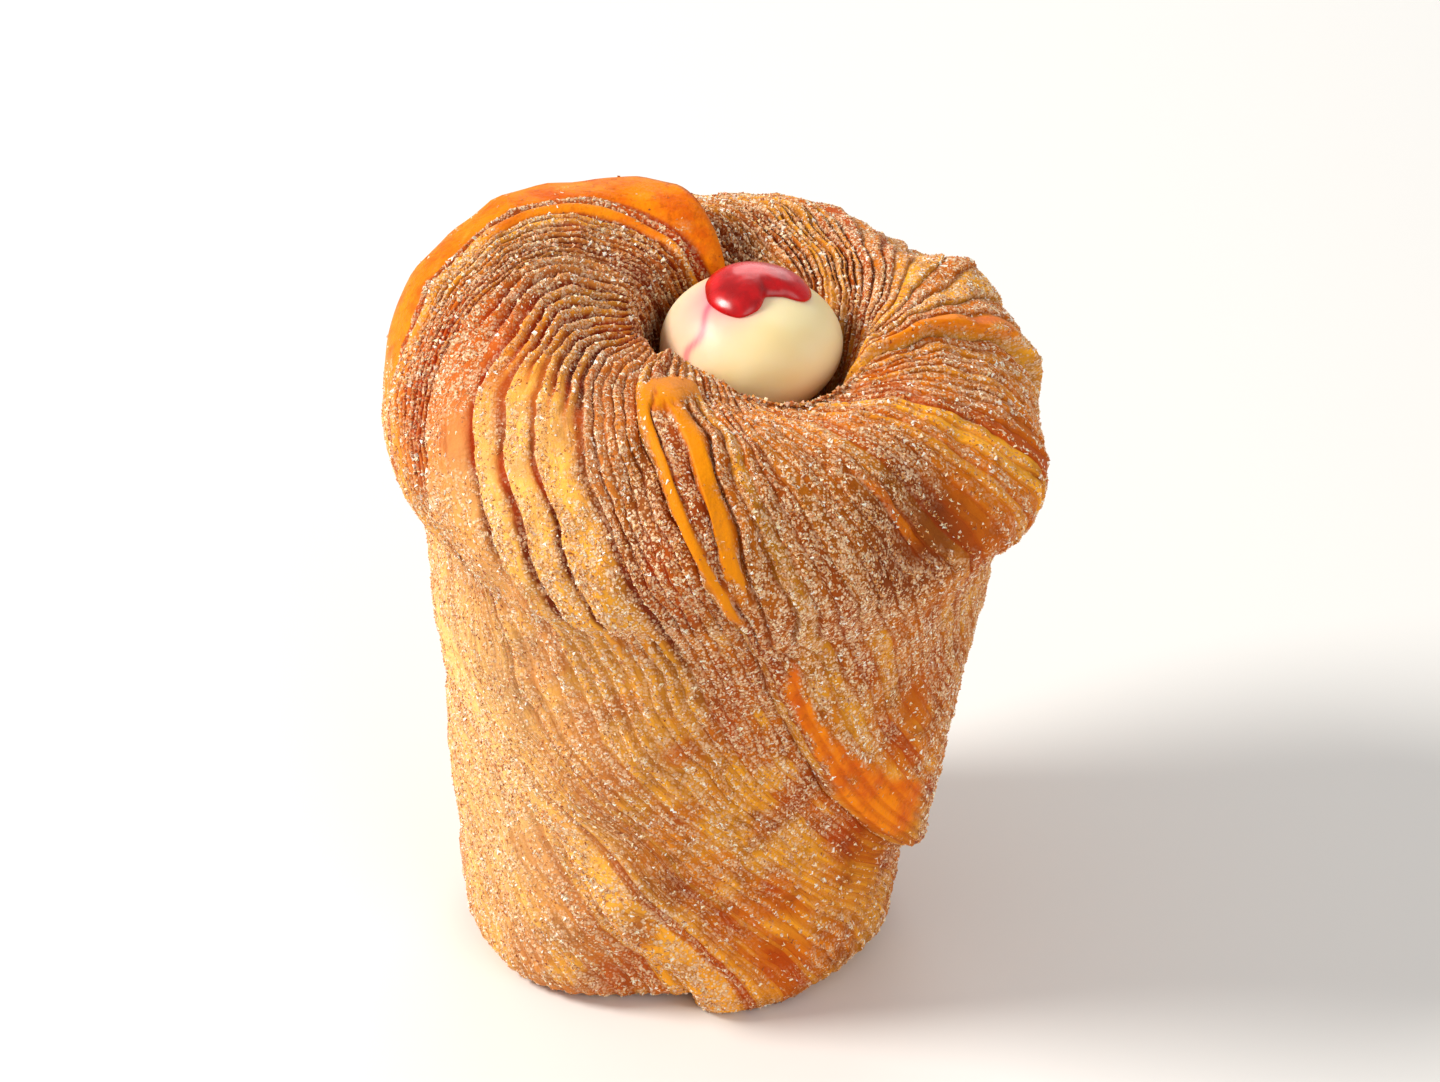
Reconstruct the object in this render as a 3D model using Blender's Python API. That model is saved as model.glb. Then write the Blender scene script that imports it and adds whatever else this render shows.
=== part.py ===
"""Cruffin: a tall laminated pastry baked in a deep cup tin, with a leaning mushroom crown of
swirled ridges, a pocket in the top filled with a dollop of cream, and a cap of jam on the cream.
Metres, +Z up, standing on its flat base at z = 0, front towards -Y."""
import math

import bmesh
import bpy
import numpy as np

MM = 0.001
SEED = 23

# Body, as turned round the hole's axis before the lean and the tilt of the crown
BASE_RADIUS = 27.6 * MM
FOOT_RADIUS = 20.8 * MM
WALL_RADIUS = 31.4 * MM
MOUTH_RADIUS = 34.6 * MM
NECK_RADIUS = 35.6 * MM
CROWN_RADIUS = 42.0 * MM
NECK_HEIGHT = 53.0 * MM
CROWN_HEIGHT = 70.5 * MM
TOP_HEIGHT = 88.0 * MM
LIP_HEIGHT = 81.0 * MM
HOLE_RADIUS = 12.6 * MM
HOLE_DEPTH = 15.0 * MM

# How the baked piece leans to the right and how its crown tips up to the left and the back
WALL_LEAN = 0.094
CROWN_SHIFT = -1.9 * MM
HOLE_SHIFT = 3.5 * MM
TILT_X = 0.125
TILT_Y = 0.05

# Crown radius and height by direction, degrees from +X towards the back, then millimetres
CROWN_SWELL = ((0, -0.6), (25, 0.4), (50, 0.0), (90, -0.5), (150, -1.6), (190, -3.0), (230, -1.6),
               (270, 0.0), (310, 0.4), (335, 0.6))
CROWN_LIFT = ((0, -1.0), (30, -0.8), (60, -0.8), (82, 0.5), (110, -0.5), (150, 1.3), (185, -0.4), (230, -0.6),
              (270, 0.0), (320, 0.5))

# The same for the lower half of the wall, growing towards the foot
FOOT_SWELL = ((0, -1.0), (20, 0.0), (90, 0.0), (180, -0.2), (215, 0.8), (245, 1.6), (275, -1.5), (310, 0.2),
              (340, 1.6))

# Where each of the three wound strips of dough starts: distance down the outline in
# millimetres, counted from the middle of the pocket floor, then the direction in degrees
START_A = ((0, 76), (18, 92), (27, 103), (32, 106), (37, 111), (42, 121), (47, 137), (52, 151),
           (58, 165), (67, 179), (78, 188), (88, 192), (96, 198), (101, 209), (105, 221), (109, 233),
           (115, 242), (121, 251), (128, 262), (137, 275), (166, 275))
START_C = ((0, 180), (18, 208), (24, 218), (32, 230), (42, 244), (51, 256), (60, 265), (70, 273),
           (82, 280), (93, 286), (104, 298), (111, 310), (117, 322), (121, 336), (126, 351), (132, 361),
           (138, 366), (166, 366))
START_B = ((0, 288), (18, 316), (24, 324), (28, 332), (33, 343), (38, 354), (44, 361), (51, 367),
           (60, 373), (70, 381), (82, 388), (93, 396), (110, 425), (137, 470), (166, 470))

# How far each strip stands above the end of the one before it, millimetres down the outline
STEP_A = ((0, 0.0), (18, 0.6), (26, 2.6), (33, 4.4), (42, 4.2), (52, 3.0), (67, 2.2), (80, 1.2),
          (96, 1.8), (108, 3.0), (122, 3.8), (134, 4.2), (141, 2.4), (143, 0.0), (166, 0.0))
STEP_C = ((0, 0.0), (18, 0.3), (26, 0.8), (44, 1.3), (60, 1.6), (72, 1.6), (86, 2.2), (97, 3.6),
          (110, 4.2), (119, 3.2), (130, 1.8), (141, 0.8), (143, 0.0), (166, 0.0))
STEP_B = ((0, 0.0), (18, 0.4), (26, 1.0), (38, 2.2), (52, 3.0), (67, 3.0), (80, 2.4), (96, 2.2),
          (120, 2.2), (137, 1.5), (143, 0.0), (166, 0.0))
STEP_MEAN = 0.32
EXTRA_SWIRL = 30.0

# Widths of the broad bare bands at the start of each strip, as shares of an ordinary ridge
BANDS_A = (4.6, 0.7, 0.95)
BANDS_C = (0.5, 0.85, 0.8)
BANDS_B = (0.9,)
RIDGES_A, RIDGES_C, RIDGES_B = 27, 29, 26
FINE_RIDGES = 12
FINE_WIDTH = 0.5
BROAD_A = (1.5, 1.5, 1.6, 1.3, 1.3, 1.15, 1.15, 1.1, 1.05, 1.15, 0.8, 0.7, 0.75, 0.9, 1.0)
CLOSE_RIDGES_B = 9
CLOSE_WIDTH_B = 0.62
GROOVE_WIDTH = 0.34 * MM

# Neighbouring ridges of strip A, after its fine ones, that run together into broad bands low on the
# crown: how many in each band, and how far they run together down the outline
BAND_RIDGES = (3, 2, 2, 3)
MERGE = ((0, 0.0), (43, 0.0), (53, 1.0), (72, 1.0), (84, 0.0), (166, 0.0))

# Fanning out of the ridges: shares of the strip, how far each moves there against the others, and
# the largest move, as a share, down the outline
TAPER_A = ((0, 0.16, 0.4, 1), (0, -1, 0, 0), ((0, 0.09), (22, 0.08), (34, 0.0), (166, 0.0)))
FAN_A = ((0, 0.16, 0.37, 0.86, 1), (0, 0, 1, 0.2, 0), ((0, 0.09), (22, 0.09), (44, 0.08), (57, 0.0), (166, 0.0)))
FAN_C = ((0, 0.06, 0.28, 1), (0, 1, 0, 0), ((0, 0.0), (26, 0.0), (38, 0.05), (46, 0.053), (54, 0.024),
                                            (60, 0.006), (66, -0.008), (74, -0.03), (86, 0.0), (166, 0.0)))
FAN_B = ((0, 0.5, 1), (0, 1, 0), ((0, 0.05), (60, 0.05), (80, 0.0), (166, 0.0)))
FANS = ((TAPER_A, FAN_A), (FAN_C,), (FAN_B,))

# How strong the ridges are across each strip: share of the strip, then strength
STRENGTH_A = ((0, 0.9), (0.3, 0.9), (0.36, 1.6), (0.6, 1.4), (0.8, 1.2), (0.88, 0.5), (1, 0.5))
STRENGTH_C = ((0, 1.0), (0.12, 0.65), (0.3, 0.4), (0.6, 0.4), (1, 0.5))
STRENGTH_B = ((0, 0.5), (0.35, 0.6), (0.55, 1.2), (1, 1.3))

# Rounding of each strip's first edge down the outline, in millimetres
EDGE_ROUND = ((0, 0.6), (70, 0.8), (84, 2.0), (120, 2.6), (141, 5.0), (166, 5.0))

# Groove depth and shingle slope of the ridges down the outline, in millimetres
GROOVE = ((0, 0.0), (11, 0.0), (18, 0.3), (26, 1.0), (34, 1.2), (60, 1.3), (69, 1.3), (77, 0.5),
          (86, 0.3), (100, 0.28), (130, 0.28), (139, 0.2), (143, 0.0), (166, 0.0))
SHINGLE = ((0, 0.0), (11, 0.0), (18, 0.1), (26, 0.4), (34, 0.8), (60, 1.1), (70, 1.1), (79, 0.4),
           (130, 0.35), (139, 0.2), (143, 0.0), (166, 0.0))
RIM_SHIFT = ((0, 0), (90, 0), (180, 0), (214, 0), (245, 1), (268, 5), (286, 3), (302, -3), (324, 0))
UNEVEN = ((0, 0.0), (14, 0.0), (26, 0.5), (60, 1.0), (80, 0.8), (130, 0.6), (141, 0.3), (143, 0.0),
          (166, 0.0))

# Single swellings and hollows: direction in degrees, distance down the outline, half widths
# in degrees and millimetres, height, all in millimetres but the degrees
LUMPS = ((94, 31, 12, 5, -2.2),
         (288, 34, 55, 10, -4.4),
         (286, 25, 34, 6, -1.6),
         (330, 60, 17, 8, 2.4),
         (332, 72, 22, 5, -1.6),
         (306, 61, 8, 8, -2.6),
         (30, 48, 6, 4, 2.2),
         (254, 52, 4, 8, -1.2),
         (4, 57, 6, 4, 1.0),
         (253, 40, 6, 5, 0.9),
         (325, 108, 12, 14, 1.0),
         (232, 124, 14, 12, 1.2),
         (256, 132, 10, 8, -1.6),
         (300, 134, 22, 8, 1.2))

# Places of the columns across one ridge
ACROSS = (0.0, 0.3, 0.76)
ROWS = (6.5, 12.0, 18.5, 24.0, 28.5, 33.0, 37.5, 42.0, 47.0, 52.0, 57.0, 62.0, 67.0, 72.0, 77.0,
        82.5, 90.0, 99.0, 109.0, 119.0, 127.5, 134.5, 139.5)

# Cream and jam
CREAM_RADIUS = 10.9 * MM
CREAM_HALF_HEIGHT = 8.6 * MM
CREAM_HEIGHT = 81.2 * MM
CREAM_FOOT_RADIUS = 5.6 * MM
CREAM_FOOT_GAP = 1.0 * MM
GAP = 0.3 * MM
JAM_THICKNESS = 1.8 * MM
JAM_REACH = ((0, 0.205), (90, 0.18), (180, 0.165), (215, 0.18), (250, 0.20), (272, 0.165), (292, 0.095),
             (320, 0.115), (342, 0.19))
CREAM_AROUND, CREAM_ROWS = 40, 14
JAM_AROUND, JAM_ROWS = 36, 6

CRUST_COLOUR = (0.60, 0.27, 0.055, 1.0)
CREAM_COLOUR = (0.86, 0.74, 0.38, 1.0)
JAM_COLOUR = (0.40, 0.005, 0.012, 1.0)


def outline():
    """Radius and height of the body's outline from the pocket floor to the foot, in mm."""
    lip, top, widest = LIP_HEIGHT / MM, TOP_HEIGHT / MM, CROWN_HEIGHT / MM
    hole, crown, neck = HOLE_RADIUS / MM, CROWN_RADIUS / MM, NECK_RADIUS / MM
    base, throat = BASE_RADIUS / MM, NECK_HEIGHT / MM
    floor = lip - HOLE_DEPTH / MM
    return np.array([
        (0, floor), (hole - 6, floor), (hole - 2.4, floor + 2.6), (hole - 1, lip - 6), (hole, lip),
        (hole + 2.2, lip + 5), (19, top - 0.6), (24.5, top), (31, top - 1.6), (crown - 5.5, top - 5.3),
        (crown - 1.6, top - 10.8), (crown, widest), (crown - 1.7, widest - 6.5),
        (crown - 5.0, widest - 11.5), (neck, throat), (MOUTH_RADIUS / MM, throat - 5), (WALL_RADIUS / MM, throat * 0.5),
        (base + 1.0, 8), (base, 3.0), (base - 2.8, 0.6), (FOOT_RADIUS / MM, 0), (0, 0)], float)


def monotone(x, y, at):
    """Smooth curve through the points (x, y) that never overshoots them, read at `at`."""
    x = np.asarray(x, float)
    y = np.asarray(y, float)
    at = np.asarray(at, float)
    width = np.diff(x)
    rise = np.diff(y) / width
    slope = np.zeros(len(x))
    slope[0], slope[-1] = rise[0], rise[-1]
    for i in range(1, len(x) - 1):
        if rise[i - 1] * rise[i] > 0:
            first = 2 * width[i] + width[i - 1]
            second = width[i] + 2 * width[i - 1]
            slope[i] = (first + second) / (first / rise[i - 1] + second / rise[i])
    i = np.clip(np.searchsorted(x, at, side="right") - 1, 0, len(width) - 1)
    t = (at - x[i]) / width[i]
    return ((1 + 2 * t) * (1 - t) ** 2 * y[i] + t * (1 - t) ** 2 * width[i] * slope[i]
            + t * t * (3 - 2 * t) * y[i + 1] + t * t * (t - 1) * width[i] * slope[i + 1])


def table(pairs, at):
    """A named table of (place, value) pairs read as a smooth curve."""
    pairs = np.asarray(pairs, float)
    return monotone(pairs[:, 0], pairs[:, 1], np.clip(at, pairs[0, 0], pairs[-1, 0]))


def round_table(pairs, degrees):
    """The same for a table that closes on itself after 360 degrees."""
    pairs = np.asarray(pairs, float)
    wide = np.concatenate([pairs - (360, 0), pairs, pairs + (360, 0)])
    return monotone(wide[:, 0], wide[:, 1], np.mod(degrees, 360.0))


def smooth(t):
    t = np.clip(t, 0.0, 1.0)
    return t * t * (3 - 2 * t)


OUTLINE = outline()
LENGTH = np.concatenate([[0.0], np.cumsum(np.hypot(*np.diff(OUTLINE, axis=0).T))])


def meridian(s):
    """Radius and height in mm at distance s along the outline."""
    steps = np.concatenate([[0.0], np.cumsum(np.hypot(*np.diff(OUTLINE, axis=0).T) ** 0.5)])
    t = np.interp(s, LENGTH, steps)
    return monotone(steps, OUTLINE[:, 0], t), monotone(steps, OUTLINE[:, 1], t)


def body(s, degrees):
    """Points in mm of the smooth body, with its lean, tilt and uneven crown."""
    radius, height = meridian(s)
    degrees = np.asarray(degrees, float)
    neck, top = NECK_HEIGHT / MM, TOP_HEIGHT / MM
    up = smooth((height - (neck - 6)) / (top - neck + 2))
    low = smooth((height - (neck - 10)) / 25)
    near = np.clip(1 - (radius - HOLE_RADIUS / MM) / 22, 0, 1) * smooth((height - 58) / 8)
    out = smooth((radius - 14) / 22)
    foot = smooth((30 - height) / 30) * smooth((radius - 12) / 10)
    radius = radius + low * out * round_table(CROWN_SWELL, degrees) + foot * round_table(FOOT_SWELL, degrees)
    turn = np.radians(degrees)
    x, y = radius * np.cos(turn), radius * np.sin(turn)
    z = height + up * (TILT_Y * y - TILT_X * x + out * round_table(CROWN_LIFT, degrees))
    x = x + WALL_LEAN * height + CROWN_SHIFT / MM * low + HOLE_SHIFT / MM * near
    return np.stack(np.broadcast_arrays(x, y, z), -1)


def waves(points, size, count, seed):
    """Smooth random unevenness between about -1 and 1, with features of the given size."""
    draw = np.random.default_rng(seed)
    way = draw.normal(size=(count, 3))
    way /= np.linalg.norm(way, axis=1, keepdims=True)
    way *= (2 * math.pi / size) * draw.uniform(0.7, 1.4, (count, 1))
    shift = draw.uniform(0, 2 * math.pi, count)
    total = np.zeros(points.shape[:-1])
    for k in range(count):
        total += np.sin(points @ way[k] + shift[k])
    return total / math.sqrt(count)


def strand_cells():
    """Every ridge: strip, number, start and end as shares of the strip, those of its band, strength."""
    draw = np.random.default_rng(SEED)
    cells = []
    for strand, (bands, count) in enumerate(((BANDS_A, RIDGES_A), (BANDS_C, RIDGES_C), (BANDS_B, RIDGES_B))):
        widths = draw.uniform(0.75, 1.3, count)
        if strand == 0:
            widths[:FINE_RIDGES] = draw.uniform(0.85, 1.15, FINE_RIDGES) * FINE_WIDTH
            widths[FINE_RIDGES:] = BROAD_A
        if strand == 2:
            widths[CLOSE_RIDGES_B:] *= CLOSE_WIDTH_B
        widths[:len(bands)] = bands
        edges = np.concatenate([[0.0], np.cumsum(widths)]) / widths.sum()
        bands = list(range(count))
        if strand == 0:
            first = FINE_RIDGES
            for size in BAND_RIDGES:
                bands[first:first + size] = [first] * size
                first += size
        for i in range(count):
            if bands[i] == i:
                last = i + bands.count(i)
                strength = table((STRENGTH_A, STRENGTH_C, STRENGTH_B)[strand], edges[i])
                strength = strength * draw.uniform(0.75, 1.15)
            cells.append((strand, i, edges[i], edges[i + 1], edges[bands[i]], edges[last], strength))
    return cells


def direction(strand, share, s):
    """Direction in degrees of the line at this share of a strip, at distance s."""
    starts = (START_A, START_C, START_B)
    moved = 0.0
    for places, moves, amount in FANS[strand]:
        moved = moved + table(amount, s) * np.interp(share, places, moves)
    share = share + moved
    here = table(starts[strand], s)
    following = table(starts[(strand + 1) % 3], s) + (360.0 if strand == 2 else 0.0)
    turn = here + (following - here) * share
    if strand == 2:
        turn = turn - EXTRA_SWIRL * np.sin(math.pi * share) * (1 - smooth((s - 22) / 18)) * smooth(s / 24)
    return turn


def edge(strand, share, s):
    """Rounding of the strip's first edge, from 0 at the edge to 1 on the strip."""
    ends = direction(strand, 1.0, s) - direction(strand, 0.0, s)
    inside = share * np.radians(ends) * np.maximum(meridian(s)[0], 1.0)
    return np.sqrt(1 - (1 - np.minimum(inside / table(EDGE_ROUND, s), 1)) ** 2)


def ridge_level(strand, start, end, strength, place, s):
    """Height from 0 in the groove to 1 on the crest, at this place across a ridge."""
    ends = direction(strand, end, s) - direction(strand, start, s)
    width = np.radians(ends) * np.maximum(meridian(s)[0], 1.0)
    reach = GROOVE_WIDTH / MM * (0.45 + 0.55 * strength)
    far = np.minimum(reach * (1 + 1.2 * strength ** 2), np.maximum(reach, 0.4 * width))
    return (1 - np.exp(-(place * width / reach) ** 2)) * (1 - np.exp(-((1 - place) * width / far) ** 2))


def crust_points(across, rows):
    """Grid of crust points in mm: one column per place across each ridge, one row per s."""
    s = np.asarray(rows, float)
    steps = (STEP_A, STEP_C, STEP_B)
    uneven = table(UNEVEN, s)
    directions, heights = [], []
    merge = table(MERGE, s)
    for strand, number, start, end, first, last, strength in strand_cells():
        for place in across:
            share = start + (end - start) * place
            turn = direction(strand, share, s)
            whole = (share - first) / (last - first)
            level = ridge_level(strand, start, end, strength, place, s) * (1 - merge)
            level = level + ridge_level(strand, first, last, strength, whole, s) * merge
            slope = 0.5 - place * (1 - merge) - whole * merge
            if number == 0 and place == 0.0:
                step = -STEP_MEAN * table(steps[(strand + 2) % 3], s)
            else:
                before = -STEP_MEAN * table(steps[(strand + 2) % 3], s)
                step = table(steps[strand], s) * ((1 - share) ** 1.4 - STEP_MEAN)
                step = before + (step - before) * edge(strand, share, s)
            rim = s - round_table(RIM_SHIFT, turn)
            relief = table(GROOVE, rim) * (level - 0.7) + table(SHINGLE, rim) * slope * level
            directions.append(turn)
            heights.append(step + strength * relief)
    turn = np.array(directions)
    height = np.array(heights)
    s = np.broadcast_to(s, turn.shape)
    small = 1e-3
    points = body(s, turn)
    along = body(s + small, turn) - body(s - small, turn)
    around = body(s, turn + small) - body(s, turn - small)
    normal = np.cross(along, around)
    normal /= np.linalg.norm(normal, axis=-1, keepdims=True)
    for middle, place, wide, long, tall in LUMPS:
        away = (np.mod(turn - middle + 180, 360) - 180) / wide
        height = height + tall * np.exp(-away ** 2 - ((s - place) / long) ** 2) * smooth((142 - s) / 6)
    broad, small_waves = waves(points, 19.0, 9, SEED + 1), waves(points, 7.0, 12, SEED + 2)
    height = height + uneven * (0.55 * broad + 0.22 * small_waves)
    points = points + normal * height[..., None]
    points[..., 2] = np.maximum(points[..., 2], 0.0)
    return points


def solid(name, rings, colour, roughness, sharp):
    """Closed body from rings of points in mm, first ring at the top, closed by a fan at each end."""
    columns, rows = rings.shape[:2]
    mesh = bpy.data.meshes.new(name)
    bm = bmesh.new()
    grid = [[bm.verts.new(rings[i, j] * MM) for j in range(rows)] for i in range(columns)]
    first = bm.verts.new(rings[:, 0].mean(axis=0) * MM)
    last = bm.verts.new(rings[:, -1].mean(axis=0) * MM)
    for i in range(columns):
        after = (i + 1) % columns
        bm.faces.new((first, grid[i][0], grid[after][0]))
        bm.faces.new((last, grid[after][-1], grid[i][-1]))
        for j in range(rows - 1):
            bm.faces.new((grid[i][j], grid[i][j + 1], grid[after][j + 1]))
            bm.faces.new((grid[i][j], grid[after][j + 1], grid[after][j]))
    bmesh.ops.recalc_face_normals(bm, faces=bm.faces)
    bm.to_mesh(mesh)
    bm.free()
    mesh.shade_smooth()
    mesh.set_sharp_from_angle(angle=math.radians(sharp))
    material = bpy.data.materials.new(name)
    material.use_nodes = True
    shader = material.node_tree.nodes["Principled BSDF"]
    shader.inputs["Base Color"].default_value = colour
    shader.inputs["Roughness"].default_value = roughness
    shader.inputs["Metallic"].default_value = 0.0
    mesh.materials.append(material)
    part = bpy.data.objects.new(name, mesh)
    bpy.context.scene.collection.objects.link(part)
    return part


def cream_middle():
    """Middle of the cream in mm, on the leaning axis of the pocket."""
    height = CREAM_HEIGHT / MM
    return np.array([WALL_LEAN * height + (CROWN_SHIFT + HOLE_SHIFT) / MM, 0.0, height])


def cream_surface(around, level):
    """Point in mm on the cream: direction in radians, and level from 0 (top) to 1 (foot)."""
    wide, tall = CREAM_RADIUS / MM, CREAM_HALF_HEIGHT / MM
    turn, level = np.broadcast_arrays(np.asarray(around, float), np.asarray(level, float))
    polar = np.minimum(level / 0.72, 1.0) * math.radians(128)
    radius = wide * np.sin(polar) ** 0.92
    height = tall * np.cos(polar)
    lobes = 1 + 0.045 * np.cos(2 * turn + 0.6) + 0.03 * np.cos(3 * turn - 1.0) + 0.03 * np.cos(turn - 5.4)
    radius = radius * (1 + (lobes - 1) * np.sin(polar))
    height = height + 0.7 * np.cos(turn - math.radians(135)) * np.sin(polar) * (1 - level)
    under = smooth((level - 0.72) / 0.28)
    edge = wide * math.sin(math.radians(128)) ** 0.92
    foot = OUTLINE[0, 1] + (CREAM_FOOT_GAP - CREAM_HEIGHT) / MM
    radius = np.where(level > 0.72, edge + (CREAM_FOOT_RADIUS / MM - edge) * under, radius)
    height = np.where(level > 0.72, height + (foot - height) * (level - 0.72) / 0.28, height)
    middle = cream_middle()
    x = middle[0] + radius * np.cos(turn) + WALL_LEAN * height
    y = middle[1] + radius * np.sin(turn)
    return np.stack([x, y, middle[2] + height], -1)


def cream_rings():
    turn = np.linspace(0, 2 * math.pi, CREAM_AROUND, endpoint=False)[:, None]
    level = np.concatenate([np.linspace(0.05, 0.72, CREAM_ROWS - 4), [0.79, 0.86, 0.93, 1.0]])[None, :]
    return cream_surface(turn, level)


def jam_rings():
    """A lens over the cream: its top skin from the middle out, then its under skin back in."""
    turn = np.linspace(0, 2 * math.pi, JAM_AROUND, endpoint=False)[:, None]
    share = np.linspace(0.12, 1.0, JAM_ROWS)[None, :]
    reach = round_table(JAM_REACH, np.degrees(turn))
    surface = cream_surface(turn, share * reach)
    middle = cream_middle()
    outward = surface - (middle - (0, 0, 4.0))
    outward /= np.linalg.norm(outward, axis=-1, keepdims=True)
    thick = JAM_THICKNESS / MM * (1 - share ** 2.2) ** 0.6
    top = surface + outward * (GAP / MM + thick[..., None] + 0.25)
    under = surface + outward * GAP / MM
    return np.concatenate([top, under[:, ::-1]], axis=1)


def main():
    for old in list(bpy.data.objects):
        bpy.data.objects.remove(old, do_unlink=True)
    foot = LENGTH[-2]
    crust = crust_points(ACROSS, ROWS + (foot,))
    solid("pastry", crust, CRUST_COLOUR, 0.62, 40)
    solid("cream", cream_rings(), CREAM_COLOUR, 0.35, 50)
    solid("jam", jam_rings(), JAM_COLOUR, 0.12, 50)


main()
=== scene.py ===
import math

import bmesh
import bpy
import numpy as np
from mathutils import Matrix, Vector


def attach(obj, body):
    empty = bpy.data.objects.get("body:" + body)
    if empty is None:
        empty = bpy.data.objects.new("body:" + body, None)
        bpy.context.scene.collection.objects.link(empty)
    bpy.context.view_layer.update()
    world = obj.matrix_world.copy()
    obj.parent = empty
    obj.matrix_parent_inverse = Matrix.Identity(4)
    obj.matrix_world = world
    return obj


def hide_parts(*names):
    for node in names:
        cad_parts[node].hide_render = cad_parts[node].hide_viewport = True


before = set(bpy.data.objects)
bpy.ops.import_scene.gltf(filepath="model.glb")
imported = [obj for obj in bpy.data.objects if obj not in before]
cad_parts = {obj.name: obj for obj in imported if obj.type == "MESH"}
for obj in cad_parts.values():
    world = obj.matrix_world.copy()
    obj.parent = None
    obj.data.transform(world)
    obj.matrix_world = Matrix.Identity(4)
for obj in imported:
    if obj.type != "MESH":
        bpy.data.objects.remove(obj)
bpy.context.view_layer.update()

MM = 0.001
SEED = 23

# Where a comment says direction, it is in degrees round the pastry, from the right of the camera's view
# towards the back. A place along the outline is in millimetres from the middle of the pocket's floor,
# over the crown and down the wall to the foot.

# The body of the crust, by the same named sizes and the same rules as the solids
BASE_RADIUS = 27.6 * MM
FOOT_RADIUS = 20.8 * MM
WALL_RADIUS = 31.4 * MM
MOUTH_RADIUS = 34.6 * MM
NECK_RADIUS = 35.6 * MM
CROWN_RADIUS = 42.0 * MM
NECK_HEIGHT = 53.0 * MM
CROWN_HEIGHT = 70.5 * MM
TOP_HEIGHT = 88.0 * MM
LIP_HEIGHT = 81.0 * MM
HOLE_RADIUS = 12.6 * MM
HOLE_DEPTH = 15.0 * MM

# Lean of the wall, sideways shift of the crown and of its pocket, and tilt of the crown
WALL_LEAN = 0.094
CROWN_SHIFT = -1.9 * MM
HOLE_SHIFT = 3.5 * MM
TILT_X = 0.125
TILT_Y = 0.05

# Where each of these takes hold, in millimetres: the tilt, from how far below the neck, over how much
# more than from neck to top; the crown's shift and swelling, from how far below the neck, over how much;
# the pocket's shift, fading over how much round it, and from a height, over how much; the swelling, from
# a radius, over how much; the foot's swelling, below a height, and from a radius, over how much
TILT_HOLD = (6, 2)
CROWN_HOLD = (10, 25)
HOLE_HOLD = (22, 58, 8)
OUTER_HOLD = (14, 22)
FOOT_HOLD = (30, 12, 10)

# Uneven width and height of the crown, and uneven width of the foot: direction, then millimetres
CROWN_SWELL = ((0, -0.6), (25, 0.4), (50, 0.0), (90, -0.5), (150, -1.6), (190, -3.0), (230, -1.6),
               (270, 0.0), (310, 0.4), (335, 0.6))
CROWN_LIFT = ((0, -1.0), (30, -0.8), (60, -0.8), (82, 0.5), (110, -0.5), (150, 1.3), (185, -0.4),
              (230, -0.6), (270, 0.0), (320, 0.5))
FOOT_SWELL = ((0, -1.0), (20, 0.0), (90, 0.0), (180, -0.2), (215, 0.8), (245, 1.6), (275, -1.5), (310, 0.2),
              (340, 1.6))

# First edge of each of the three strips: place along the outline, then direction
START_A = ((0, 76), (18, 92), (27, 103), (32, 106), (37, 111), (42, 121), (47, 137), (52, 151),
           (58, 165), (67, 179), (78, 188), (88, 192), (96, 198), (101, 209), (105, 221), (109, 233),
           (115, 242), (121, 251), (128, 262), (137, 275), (166, 275))
START_C = ((0, 180), (18, 208), (24, 218), (32, 230), (42, 244), (51, 256), (60, 265), (70, 273),
           (82, 280), (93, 286), (104, 298), (111, 310), (117, 322), (121, 336), (126, 351), (132, 361),
           (138, 366), (166, 366))
START_B = ((0, 288), (18, 316), (24, 324), (28, 332), (33, 343), (38, 354), (44, 361), (51, 367),
           (60, 373), (70, 381), (82, 388), (93, 396), (110, 425), (137, 470), (166, 470))

# Step of each strip over the one before it, in millimetres down the outline, the share of a step that
# lies below the body's surface, how a strip falls away from its step, and how far the lines of strip B
# swing in the pocket, in degrees, with where the swing is full, from where it fades and over how much
STEP_A = ((0, 0.0), (18, 0.6), (26, 2.6), (33, 4.4), (42, 4.2), (52, 3.0), (67, 2.2), (80, 1.2),
          (96, 1.8), (108, 3.0), (122, 3.8), (134, 4.2), (141, 2.4), (143, 0.0), (166, 0.0))
STEP_C = ((0, 0.0), (18, 0.3), (26, 0.8), (44, 1.3), (60, 1.6), (72, 1.6), (86, 2.2), (97, 3.6),
          (110, 4.2), (119, 3.2), (130, 1.8), (141, 0.8), (143, 0.0), (166, 0.0))
STEP_B = ((0, 0.0), (18, 0.4), (26, 1.0), (38, 2.2), (52, 3.0), (67, 3.0), (80, 2.4), (96, 2.2),
          (120, 2.2), (137, 1.5), (143, 0.0), (166, 0.0))
STEP_MEAN = 0.32
STEP_FALL = 1.4
EXTRA_SWIRL = 30.0
SWIRL_HOLD = (24, 22, 18)

# Widths of each strip's first ridges against a plain ridge, and how many ridges each strip has
BANDS_A = (4.6, 0.7, 0.95)
BANDS_C = (0.5, 0.85, 0.8)
BANDS_B = (0.9,)
RIDGES_A, RIDGES_C, RIDGES_B = 27, 29, 26

# Strip A has fine ridges, then broad ones, and strip B has close ones after its broad ones
FINE_RIDGES = 12
FINE_WIDTH = 0.5
BROAD_A = (1.5, 1.5, 1.6, 1.3, 1.3, 1.15, 1.15, 1.1, 1.05, 1.15, 0.8, 0.7, 0.75, 0.9, 1.0)
CLOSE_RIDGES_B = 9
CLOSE_WIDTH_B = 0.62

# Random widths of the other ridges of strips B and C, and of the fine ones, and random strengths
PLAIN_WIDTHS = (0.75, 1.3)
FINE_WIDTHS = (0.85, 1.15)
STRENGTHS = (0.75, 1.15)

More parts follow.
